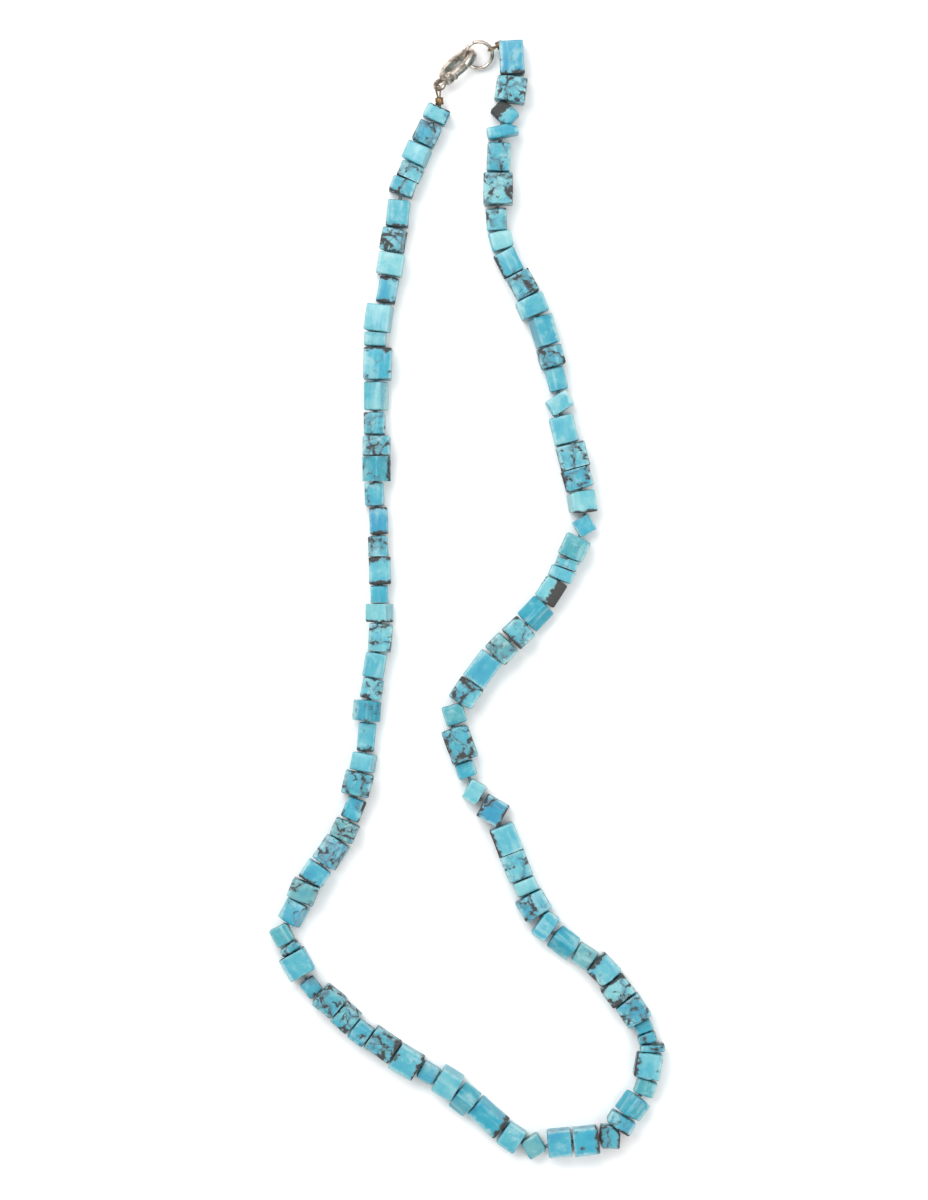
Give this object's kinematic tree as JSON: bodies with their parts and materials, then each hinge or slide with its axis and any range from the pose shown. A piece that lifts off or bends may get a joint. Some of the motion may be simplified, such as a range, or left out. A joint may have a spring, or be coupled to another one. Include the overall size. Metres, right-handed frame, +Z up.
{
  "type": "beaded necklace",
  "caption": "Closed strand of square turquoise stones with dark veins, lying flat, fastened by a small lobster clasp with a sprung lever and a jump ring.",
  "frame": {"origin": "middle of the necklace's outline on the surface that it lies on", "axes": "+Z up from the surface, +Y along the necklace towards the clasp, +X across it, to the right in the picture"},
  "size_m": [0.0792, 0.2241, 0.0066],
  "materials": {
    "turquoise_stone": "satin",
    "clasp_metal": "polished",
    "beading_wire": "satin",
    "crimp_metal": "polished"
  },
  "bodies": {
    "necklace": {"bead_string_left": "turquoise_stone", "bead_string_right": "turquoise_stone", "clasp_body": "clasp_metal", "clasp_pin": "clasp_metal", "jump_ring": "clasp_metal", "wire_loop_left": "beading_wire", "wire_loop_right": "beading_wire", "crimp_left": "crimp_metal", "crimp_right": "crimp_metal"},
    "clasp_lever": {"clasp_lever": "clasp_metal"}
  },
  "joints": [
    {"name": "clasp_lever_hinge", "type": "hinge", "parent": "necklace", "child": "clasp_lever", "pos_m": [-0.00424, 0.10413, 0.0029], "axis": [-0.4685, 0.5296, 0.7071], "range_deg": [0, 22], "stiffness_Nm_per_rad": 0.004}
  ]
}
